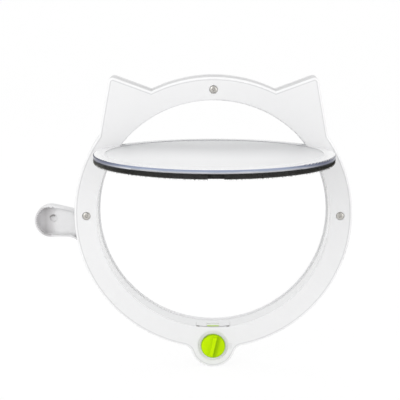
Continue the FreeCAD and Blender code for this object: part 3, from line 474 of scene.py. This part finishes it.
def makeBorderFinish():
    # the border outside the field, with the same painted shade toward the hinge as the field
    p = panelSetup
    material, tree, colour = startMaterial("clearBorder", panelValues(0.2, coat=0.15))
    apart = hangingPlace(tree)[1]
    down = addRange(tree, apart["Z"], p["borderShadeFade"], smooth=True)
    near = addTone(tree, {"light": p["border"], "dark": p["fieldFront"]})
    feed(tree, colour, addMix(tree, down, rgba(p["borderShade"]), near))
    return material


finish["fieldPaintedShade"] = makeFieldFinish()
finish["clearEdge"] = makeEdgeFinish()
finish["clearBorder"] = makeBorderFinish()
print("finishes:", len(finish))


# Dressed copies of the rigid nodes

def cleanCopy(nodeName, pieceName, finishNames, sharpAngle=30.0):
    # merged, with even shading across the flat faces
    form = bmesh.new()
    form.from_mesh(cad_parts[nodeName].data)
    bmesh.ops.remove_doubles(form, verts=form.verts, dist=mergeDistance)
    for layer in list(form.loops.layers.uv.values()):
        form.loops.layers.uv.remove(layer)
    mesh = meshFrom(form, pieceName)
    mesh.shade_smooth()
    mesh.set_sharp_from_angle(angle=math.radians(sharpAngle))
    for name in finishNames:
        mesh.materials.append(finish[name])
    piece = linkObject(pieceName, mesh)
    even = piece.modifiers.new("evenShading", "WEIGHTED_NORMAL")
    even.keep_sharp = True
    even.weight = 80
    return piece


def seat(piece, body, slot, *nodes):
    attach(piece, body)
    if nodes:
        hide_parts(*nodes)


dressing = [
    # node, finish, body, slot
    ("lock_cover", "satinWhite", "frame", "white_plastic"),
    ("latch_bezel", "tunnelWhite", "frame", "grey_plastic"),
    ("hinge_bush_left", "naturalPlastic", "frame", "bush_plastic"),
    ("hinge_bush_right", "naturalPlastic", "frame", "bush_plastic"),
    ("lock_pinion", "naturalPlastic", "knob", "bush_plastic"),
    ("latch_front", "limeKnob", "latch_front", "green_plastic"),
]
for nodeName, finishName, body, slot in dressing:
    seat(cleanCopy(nodeName, nodeName + "_dressed", [finishName]), body, slot, nodeName)

latchTip = {"lean": 0.9, "above": -0.102}      # the pale upward faces on the rear latch, above a given height
latchRear = cleanCopy("latch_rear", "latch_rear_dressed", ["limeKnob", "tunnelWhite"])
for face in latchRear.data.polygons:
    if face.normal.z > latchTip["lean"] and face.center.z > latchTip["above"]:
        face.material_index = 1
seat(latchRear, "latch_rear", "green_plastic", "latch_rear")


# The front frame, with a painted shade line inside its rounded rim

screwPlaces = [(0.0, 0.1095), (-0.1095, 0.0), (0.1095, 0.0)]     # across and up
frontSetup = {
    "finishes": ["satinWhite", "tunnelWhite", "rimWhite", "rimLine", "sideWhite"],
    "lineWidth": 0.0008,
    "flatLean": -0.999,            # a face of the flat front, at most flatDepth from it
    "flatDepth": 2e-5,
    "outerRim": 0.1125,            # beyond this radius a face belongs to the outer rim
    "rimLean": (-0.97, -0.12),     # how the faces of its rounding lean, and how far back they go
    "rimBack": 0.0019,
    "tunnel": 0.1006,
    "tunnelLean": 0.2,
    "lock": (0.0, -0.1171),
    "lockReach": 0.0145,
    "screwReach": 0.005,
}

def markFrontShadeLine(mesh, index):
    # split a narrow strip off the flat face along its border, in a finish of its own: a painted
    # shade line
    f = frontSetup
    form = bmesh.new()
    form.from_mesh(mesh)
    flat = [face for face in form.faces if face.normal.y < f["flatLean"]
            and abs(face.calc_center_median().y) < f["flatDepth"]]
    strip = bmesh.ops.inset_region(form, faces=flat, thickness=f["lineWidth"],
                                   use_boundary=True, use_even_offset=False)["faces"]
    for face in strip:
        face.material_index = index
    form.to_mesh(mesh)
    form.free()


def nearAny(middle, places, reach):
    return any(math.hypot(middle.x - x, middle.z - z) < reach for x, z in places)


def paintFrontFrame(mesh):
    f = frontSetup
    satin, tunnel, rim, line, side = range(len(f["finishes"]))
    markFrontShadeLine(mesh, line)
    for face in mesh.polygons:
        middle, lean = face.center, face.normal.y
        radius = math.hypot(middle.x, middle.z)
        outer = radius > f["outerRim"] and not nearAny(middle, [f["lock"]], f["lockReach"]) \
            and not nearAny(middle, screwPlaces, f["screwReach"])
        if face.material_index == line and not outer:
            face.material_index = satin
        elif radius < f["tunnel"] and abs(lean) < f["tunnelLean"]:
            face.material_index = tunnel
        # painted highlight on the rounding of the outer rim
        elif outer and f["rimLean"][0] < lean < f["rimLean"][1] and middle.y < f["rimBack"]:
            face.material_index = rim
        # painted shade on the outer side wall
        elif outer and abs(lean) < -f["rimLean"][1] \
                and face.normal.x * middle.x + face.normal.z * middle.z > 0:
            face.material_index = side


frontFrame = cleanCopy("front_frame", "front_frame_dressed", frontSetup["finishes"])
paintFrontFrame(frontFrame.data)
seat(frontFrame, "frame", "white_plastic", "front_frame")


# The rear frame, with its hollow lug

lugSetup = {
    "centre": (-0.142, -0.008),
    "start": -0.1195,
    "lean": 0.3,                   # less than this is a wall, more is the floor of the hollow
    "tones": [                     # across the object, from the lug's rounded end inward
        (-0.1560, (0.72, 0.71, 0.72)), (-0.1515, (0.66, 0.65, 0.66)),
        (-0.1475, (0.52, 0.51, 0.515)), (-0.1425, (0.65, 0.64, 0.65)),
        (-0.1385, (0.78, 0.78, 0.785)), (-0.1350, (0.82, 0.82, 0.826))],
    "paleZ": (0.0034, 0.0048),     # the lip along the top stays plain
}

def makeLugFinish():
    # painted shade: the hollow of the lug, darker toward its deep end
    places, colours = zip(*lugSetup["tones"])
    start, end = places[0], places[-1]
    material, tree, colour = startMaterial("lugHollowShade", finishes["rearWhite"])
    apart = splitPlace(tree, objectPlace(tree))
    along = addRange(tree, apart["X"], (start, end))
    inner = edgeRamp(tree, along, colours, [(x - start) / (end - start) for x in places])
    above = addRange(tree, apart["Z"], lugSetup["paleZ"])
    feed(tree, colour, addMix(tree, above, inner, rgba(colours[-1])))
    return material


finish["lugHollowShade"] = makeLugFinish()
rearFrame = cleanCopy("rear_frame", "rear_frame_dressed", ["rearWhite", "lugHollowShade"])
# painted shade on the lug's hollow, its inward walls and its front faces
for face in rearFrame.data.polygons:
    middle, lean = face.center, face.normal.y
    inward = face.normal.x * (lugSetup["centre"][0] - middle.x) \
        + face.normal.z * (lugSetup["centre"][1] - middle.z)
    if middle.x < lugSetup["start"] and (lean < -lugSetup["lean"]
                                         or (abs(lean) < lugSetup["lean"] and inward > 0)):
        face.material_index = 1
seat(rearFrame, "frame", "white_plastic", "rear_frame")


# The clear panel

def paintPanel(mesh):
    # its finishes are the border, the edge with its painted refraction, the field with its painted
    # shade and the rounding with its painted highlight
    p = panelSetup
    for face in mesh.polygons:
        middle = backToHanging @ face.center
        lean = face.normal.dot(discAxis)
        reach = math.hypot(middle.x, middle.z + p["centreDrop"])
        atEdge = reach > p["radius"] - p["edgeBand"]
        if atEdge and abs(lean) < p["edgeLean"]:
            face.material_index = 1
        elif atEdge and p["rimLean"] < lean < 0:
            face.material_index = 3
        elif lean < p["fieldLean"] and reach < p["fieldRadius"] \
                and middle.y > p["frontFace"] + p["fieldStep"]:
            face.material_index = 2


panel = cleanCopy("flap_panel", "flap_panel_dressed",
                  ["clearBorder", "clearEdge", "fieldPaintedShade", "rimWhite"])
paintPanel(panel.data)
seat(panel, "flap", "clear_panel", "flap_panel")

plainNodes = {
    "zincSteel": ["cover_screw_left", "cover_screw_right", "knob_screw", "frame_magnet_left",
                  "frame_magnet_right", "flap_magnet_left", "flap_magnet_right"],
    "pinSteel": ["hinge_pin_left", "hinge_pin_right"],
    "warmBrass": ["insert_top", "insert_left", "insert_right"],
}
for finishName, nodeNames in plainNodes.items():
    for nodeName in nodeNames:
        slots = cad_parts[nodeName].data.materials
        slots.clear()
        slots.append(finish[finishName])
print("nodes dressed")


# Geometry Nodes helpers

def endTree(tree, instances, material, result):
    real = addNode(tree, "GeometryNodeRealizeInstances", {"Geometry": instances})
    paint = addNode(tree, "GeometryNodeSetMaterial", {
        "Geometry": real.outputs["Geometry"], "Material": material})
    feed(tree, result["Geometry"], paint.outputs["Geometry"])


def growPiece(base, pieceName, tree, settings):
    # run the tree on a base mesh and keep the result as a plain mesh
    grown = base.modifiers.new("grow", "NODES")
    grown.node_group = tree
    for socket in tree.interface.items_tree:
        if socket.in_out == "INPUT" and socket.name in settings:
            grown[socket.identifier] = settings[socket.name]
    view = bpy.context.evaluated_depsgraph_get()
    mesh = bpy.data.meshes.new_from_object(base.evaluated_get(view), depsgraph=view)
    mesh.name = pieceName
    base.modifiers.remove(grown)
    return linkObject(pieceName, mesh)


def dropBase(base):
    mesh = base.data
    bpy.data.objects.remove(base)
    bpy.data.meshes.remove(mesh)


# The seal under the panel: a rubber carrier with a short black pile round its outside

pileSetup = {
    "black": {"light": (0.10, 0.096, 0.08), "dark": (0.005, 0.005, 0.004), "gloss": 0.7,
              "spread": 0.1, "depth": 0.0, "shine": 0.1, "cloud": 90.0},
    "grey": {"light": (0.30, 0.295, 0.27), "dark": (0.05, 0.05, 0.045), "cloud": 160.0},
    "greyLeft": (-0.070, -0.094),     # across the object, where the pile gets greyer
    # painted refraction: the pile's tint where it shows through the panel's edge
    "refractionTint": (0.15, 0.16, 0.19),    # the pile that shows through the panel's edge at both ends
    "refractionTintDepth": 0.0014,
    "rimBand": 0.0009,             # the carrier's points this near its radius move inward
    "pileDepth": 0.0011,           # how far the carrier stands back behind the pile
    "length": 0.00105,
    "thickness": 0.00013,
    "tip": 0.00004,
    "sides": 4,
    "density": 2600000.0,          # hairs to the square metre
    "facing": 0.6,                 # hairs grow where the carrier faces outward more than this
    "lean": 0.16,                  # radians, either way
    "seed": 7,
    # how far down the hanging flap the pile starts, from the middle of the disc
    "starts": {"flap_seal_lower": -0.0412, "flap_seal_upper": -1.0},
}

def makePileFinish():
    # black pile, greyer toward its left end, with painted refraction: tinted where it shows
    # through the panel's edge
    material, tree, colour = startMaterial("sealPile", pileSetup["black"])
    greyLeft = addRange(tree, splitPlace(tree, objectPlace(tree))["X"], pileSetup["greyLeft"])
    pile = addMix(tree, greyLeft, addTone(tree, pileSetup["black"]),
                  addTone(tree, pileSetup["grey"]))
    apart = hangingPlace(tree)[1]
    back = panelSetup["frontFace"] + panelSetup["thickness"]
    under = addRange(tree, apart["Y"], (back + pileSetup["refractionTintDepth"],
                                        back + pileSetup["refractionTintDepth"] / 2))
    outward = addRange(tree, addMath(tree, "ABSOLUTE", apart["X"]), panelSetup["ends"])
    through = addMath(tree, "MULTIPLY", under, outward)
    feed(tree, colour, addMix(tree, through, pile, rgba(pileSetup["refractionTint"])))
    return material


def pileTree():
    tree, given, result = newGroup("GeometryNodeTree", "sealPile", [
        ("Geometry", "Geometry"), ("Centre", "Vector"), ("Axis", "Vector"), ("Down", "Vector"),
        ("Start", "Float"), ("Facing", "Float"), ("Hair Length", "Float"),
        ("Hair Thickness", "Float"), ("Hair Tip", "Float"), ("Hair Sides", "Int"),
        ("Density", "Float"), ("Lean", "Float"), ("Seed", "Int"), ("Material", "Material")],
        [("Geometry", "Geometry")])

    def vectorMath(operation, *sources):
        node = addNode(tree, "ShaderNodeVectorMath", dict(enumerate(sources)),
                       operation=operation)
        return node.outputs["Value" if operation == "DOT_PRODUCT" else "Vector"]

    def greater(first, second):
        return addNode(tree, "FunctionNodeCompare", {0: first, 1: second},
                       operation="GREATER_THAN").outputs["Result"]

    place = addNode(tree, "GeometryNodeInputPosition").outputs[0]
    normal = addNode(tree, "GeometryNodeInputNormal").outputs[0]
    spoke = vectorMath("SUBTRACT", place, given["Centre"])
    rise = vectorMath("DOT_PRODUCT", spoke, given["Axis"])
    lift = addNode(tree, "ShaderNodeVectorMath", {0: given["Axis"], "Scale": rise},
                   operation="SCALE").outputs["Vector"]
    outward = vectorMath("NORMALIZE", vectorMath("SUBTRACT", spoke, lift))
    facing = greater(vectorMath("DOT_PRODUCT", normal, outward), given["Facing"])
    below = greater(vectorMath("DOT_PRODUCT", spoke, given["Down"]), given["Start"])
    both = addNode(tree, "FunctionNodeBooleanMath", {0: facing, 1: below}, operation="AND")

    scatter = addNode(tree, "GeometryNodeDistributePointsOnFaces", {
        "Mesh": given["Geometry"], "Selection": both.outputs[0], "Density": given["Density"],
        "Seed": given["Seed"]}).outputs
    hair = addNode(tree, "GeometryNodeMeshCone", {
        "Vertices": given["Hair Sides"], "Radius Top": given["Hair Tip"],
        "Radius Bottom": given["Hair Thickness"], "Depth": given["Hair Length"]})
    put = addNode(tree, "GeometryNodeInstanceOnPoints", {
        "Points": scatter["Points"], "Instance": hair.outputs["Mesh"],
        "Rotation": scatter["Rotation"]})
    lean = addNode(tree, "FunctionNodeRandomValue", {
        0: addMath(tree, "MULTIPLY", given["Lean"], -1.0), 1: given["Lean"],
        "Seed": given["Seed"]}, data_type="FLOAT_VECTOR")
    turn = addNode(tree, "GeometryNodeRotateInstances", {
        "Instances": put.outputs["Instances"], "Rotation": lean.outputs[0]})
    endTree(tree, turn.outputs["Instances"], given["Material"], result)
    return tree


sealPile = pileTree()
finish["sealPile"] = makePileFinish()
for nodeName, pileStart in pileSetup["starts"].items():
    carrier = cleanCopy(nodeName, nodeName + "_carrier", ["blackSeal"])
    for vert in carrier.data.vertices:
        spoke = vert.co - discCentre
        spoke -= discAxis * spoke.dot(discAxis)
        if spoke.length > panelSetup["radius"] - pileSetup["rimBand"]:
            vert.co -= spoke.normalized() * pileSetup["pileDepth"]
    pile = growPiece(carrier, nodeName + "_pile", sealPile, {
        "Centre": discCentre, "Axis": discAxis, "Down": hangingDown, "Start": pileStart,
        "Facing": pileSetup["facing"], "Hair Length": pileSetup["length"],
        "Hair Thickness": pileSetup["thickness"], "Hair Tip": pileSetup["tip"],
        "Hair Sides": pileSetup["sides"], "Density": pileSetup["density"],
        "Lean": pileSetup["lean"], "Seed": pileSetup["seed"], "Material": finish["sealPile"]})
    seat(carrier, "flap", "black_seal", nodeName)
    seat(pile, "flap", "black_seal")
    print(nodeName, "pile faces:", len(pile.data.polygons))


# Screws: domed heads with a cross recess

screwSetup = {
    "headFront": -0.0006,
    "headRadius": 0.0033,
    "headHeight": 0.0015,
    "domeShare": 0.62,             # of the head's height
    "domeFullness": 0.85,
    "domeSteps": 6,
    "shankRadius": 0.0018,
    "tipY": 0.0214,
    "tipLength": 0.0008,
    "crossLength": 0.0019,         # half of it, as are the next two
    "crossWidth": 0.00042,
    "crossDepth": 0.0009,
    "crossTaper": 0.45,
    "turns": [0.3, 1.1, 0.65],     # how far each cross is turned, radians
    "segments": 40,
    "sharp": 35.0,
}

def turnedScrew():
    # one screw along +Z, its head's top at the origin
    s = screwSetup
    profile = [(0.0, 0.0)]
    for step in range(1, s["domeSteps"] + 1):
        angle = math.radians(90.0 * step / s["domeSteps"])
        profile.append((s["headRadius"] * math.sin(angle) ** s["domeFullness"],
                        s["headHeight"] * s["domeShare"] * (1 - math.cos(angle))))
    length = s["tipY"] - s["headFront"]
    profile += [(s["headRadius"], s["headHeight"]), (s["shankRadius"], s["headHeight"]),
                (s["shankRadius"], length - s["tipLength"]), (0.0, length)]
    form = bmesh.new()
    verts = [form.verts.new((radius, 0.0, height)) for radius, height in profile]
    for first, second in zip(verts, verts[1:]):
        form.edges.new((first, second))
    bmesh.ops.spin(form, geom=form.verts[:] + form.edges[:], cent=(0, 0, 0), axis=(0, 0, 1),
                   angle=2 * math.pi, steps=s["segments"])
    bmesh.ops.remove_doubles(form, verts=form.verts, dist=mergeDistance)
    bmesh.ops.recalc_face_normals(form, faces=form.faces)
    return linkObject("turnedScrew", meshFrom(form, "turnedScrew"))


def crossTool():
    s = screwSetup
    form = bmesh.new()
    for turn in (0.0, math.pi / 2):
        made = bmesh.ops.create_cube(form, size=2.0)["verts"]
        bmesh.ops.scale(form, verts=made, vec=(s["crossLength"], s["crossWidth"], s["crossDepth"]))
        for vert in made:              # the recess narrows toward its bottom
            if vert.co.z > 0:
                vert.co.x *= s["crossTaper"]
        bmesh.ops.rotate(form, verts=made, cent=(0, 0, 0), matrix=Matrix.Rotation(turn, 3, "Z"))
    return linkObject("crossTool", meshFrom(form, "crossTool"))


def screwForm():
    screw, tool = turnedScrew(), crossTool()
    recess = screw.modifiers.new("recess", "BOOLEAN")
    recess.object = tool
    recess.operation = "DIFFERENCE"
    recess.solver = "EXACT"
    recess.use_self = True
    view = bpy.context.evaluated_depsgraph_get()
    mesh = bpy.data.meshes.new_from_object(screw.evaluated_get(view), depsgraph=view)
    dropBase(tool)
    dropBase(screw)
    mesh.set_sharp_from_angle(angle=math.radians(screwSetup["sharp"]))
    return linkObject("screwForm", mesh)


def screwTree():
    tree, given, result = newGroup("GeometryNodeTree", "frameScrews", [
        ("Geometry", "Geometry"), ("Screw", "Object"), ("Material", "Material")],
        [("Geometry", "Geometry")])
    read = addNode(tree, "GeometryNodeObjectInfo", {"Object": given["Screw"]})
    turn = addNode(tree, "GeometryNodeInputNamedAttribute", {"Name": "crossTurn"},
                   data_type="FLOAT")
    spin = addNode(tree, "ShaderNodeCombineXYZ", {
        "X": math.radians(-90.0), "Y": turn.outputs[0]})
    put = addNode(tree, "GeometryNodeInstanceOnPoints", {
        "Points": given["Geometry"], "Instance": read.outputs["Geometry"],
        "Rotation": spin.outputs[0]})
    endTree(tree, put.outputs["Instances"], given["Material"], result)
    return tree


spots = bpy.data.meshes.new("screwSpots")
spots.from_pydata([(x, screwSetup["headFront"], z) for x, z in screwPlaces], [], [])
spots.attributes.new("crossTurn", "FLOAT", "POINT").data.foreach_set("value", screwSetup["turns"])
spotObject = linkObject("screwSpots", spots)
screw = screwForm()
screws = growPiece(spotObject, "frameScrews", screwTree(),
                   {"Screw": screw, "Material": finish["zincSteel"]})
dropBase(spotObject)
dropBase(screw)
seat(screws, "frame", "zinc_steel", "screw_top", "screw_left", "screw_right")
print("screws:", len(screws.data.polygons), "faces")


# The knob

knobSetup = {
    "centre": (0.0, -0.1171),
    "radius": 0.0107,
    "faceY": -0.0025,
    "faceSkin": 0.0001,
    "edgeBand": 0.0009,            # the rounded edge of the disc
    "edgeLean": -0.99,
    "flankLean": 0.3,              # the flank of the grip turned from the light
    "gripLean": math.radians(13.0),
    "shadeRise": (0.0014, 0.0021),       # across the grip, from its middle
    "shadeFall": (0.0034, 0.0068),
    "shadeLeft": 0.25,
}

def makeKnobFinish():
    # painted shade: one side of the disc, beside the grip, is darker as if it takes less light
    k = knobSetup
    material, tree, colour = startMaterial("limeFace", finishes["limeKnob"])
    turn = addNode(tree, "ShaderNodeMapping", {
        "Vector": objectPlace(tree), "Rotation": (0.0, -k["gripLean"], 0.0),
        "Location": (k["centre"][1] * math.sin(k["gripLean"]), 0.0, 0.0)})
    across = splitPlace(tree, turn.outputs["Vector"])["X"]
    rise = addRange(tree, across, k["shadeRise"], smooth=True)
    fall = addRange(tree, across, k["shadeFall"], smooth=True, to=(1.0, k["shadeLeft"]))
    band = addMath(tree, "MULTIPLY", rise, fall)
    feed(tree, colour, addMix(tree, band, addTone(tree, finishes["limeKnob"]),
                              rgba(finishes["limeShade"]["light"])))
    return material


finish["limeFace"] = makeKnobFinish()
knob = cleanCopy("lock_knob", "lock_knob_dressed", ["limeFace", "limeShade"])
# painted shade: the grip's flank turned from the light and the disc's rounded edge take the darker
# lime
for face in knob.data.polygons:
    middle = face.center
    reach = math.hypot(middle.x - knobSetup["centre"][0], middle.z - knobSetup["centre"][1])
    onGrip = middle.y < knobSetup["faceY"] - knobSetup["faceSkin"]
    onEdge = reach > knobSetup["radius"] - knobSetup["edgeBand"]
    if (onGrip and face.normal.x > knobSetup["flankLean"]) \
            or (onEdge and face.normal.y > knobSetup["edgeLean"]):
        face.material_index = 1
seat(knob, "knob", "knob_plastic", "lock_knob")


# Thin trim, all painted shade: a dark bar at the notch in the knob's rim, turn marks beside it, a
# pale ring in the seam at the tunnel's rear lip, dark ends on the slot plate and the shaded arc of
# the lug's dimple

def ringBar(name, finishName, centre, radius, angles, width, depths, steps):
    # a square bar bent round an arc in the XZ plane, closed at both ends or all round
    low, high = angles
    whole = high - low > 359.9
    inner, outer = radius - width / 2, radius + width / 2
    front, back = depths
    form = bmesh.new()
    rings = []
    for step in range(steps if whole else steps + 1):
        angle = math.radians(low + (high - low) * step / steps)
        rings.append([form.verts.new((centre[0] + reach * math.cos(angle), y,
                                      centre[1] + reach * math.sin(angle)))
                      for reach, y in ((inner, front), (outer, front), (outer, back),
                                       (inner, back))])
    for one, other in zip(rings, rings[1:] + (rings[:1] if whole else [])):
        for side in range(4):
            form.faces.new((one[side], one[(side + 1) % 4], other[(side + 1) % 4], other[side]))
    if not whole:
        form.faces.new(rings[0])
        form.faces.new(rings[-1])
    bmesh.ops.recalc_face_normals(form, faces=form.faces)
    bar = linkObject(name, meshFrom(form, name))
    bar.data.materials.append(finish[finishName])
    return bar


# painted shade: a dark olive bar at the notch in the knob's rim stands in for the notch's shadow
notchSetup = {"angles": (123.5, 132.5), "radius": 0.0102, "width": 0.0011,
              "depths": (-0.00238, -0.0016), "steps": 4}
notch = ringBar("knobNotch", "oliveNotch", knobSetup["centre"], notchSetup["radius"],
                notchSetup["angles"], notchSetup["width"], notchSetup["depths"],
                notchSetup["steps"])
seat(notch, "knob", "knob_plastic")

markSetup = {"radii": [0.0141, 0.0151, 0.0161], "angles": (-13.0, 9.0), "width": 0.00035,
             "depths": (-0.00012, 0.0002), "steps": 10}
# painted shade: the moulded turn marks take the grey of the painted shade line
for index, radius in enumerate(markSetup["radii"]):
    mark = ringBar("turnMark%d" % (index + 1), "rimLine", knobSetup["centre"], radius,
                   markSetup["angles"], markSetup["width"], markSetup["depths"],
                   markSetup["steps"])
    seat(mark, "frame", "white_plastic")

middleOfRing, middleOfDimple = (0.0, 0.0), (-0.1408, -0.0078)
trimSetup = {
    # slot, finish, centre, radius, from and to in degrees, width, front and back, steps
    # painted shade: a pale grey ring in the seam between the spigot's end and the rear lip stands
    # in for the seam's shadow
    "lipFoam": ("grey_plastic", "greyFoam", middleOfRing, 0.09982, (0.0, 360.0), 0.00116,
                (0.02235, 0.02279), 240),
    # painted shade: a grey strip and two dark ends stand in for the shadow in the slot plate's
    # seam
    "slotSeam": ("grey_plastic", "seamGrey", middleOfRing, 0.10042, (-98.0, -82.0), 0.0003,
                 (0.0009, 0.0030), 24),
    "slotEndLeft": ("grey_plastic", "seamDark", middleOfRing, 0.1004, (-98.4, -96.9), 0.0006,
                    (0.0003, 0.0026), 4),
    "slotEndRight": ("grey_plastic", "seamDark", middleOfRing, 0.1004, (-83.2, -81.7), 0.0006,
                     (0.0003, 0.0026), 4),
    # painted shade: a dark arc at the upper edge of the lug's dimple
    "lugDimpleArc": ("white_plastic", "seamDark", middleOfDimple, 0.0034, (62.0, 150.0), 0.0009,
                     (0.0220, 0.0229), 12),
}
for name, (slot, finishName, *bend) in trimSetup.items():
    seat(ringBar(name, finishName, *bend), "frame", slot)
print("trim is on")
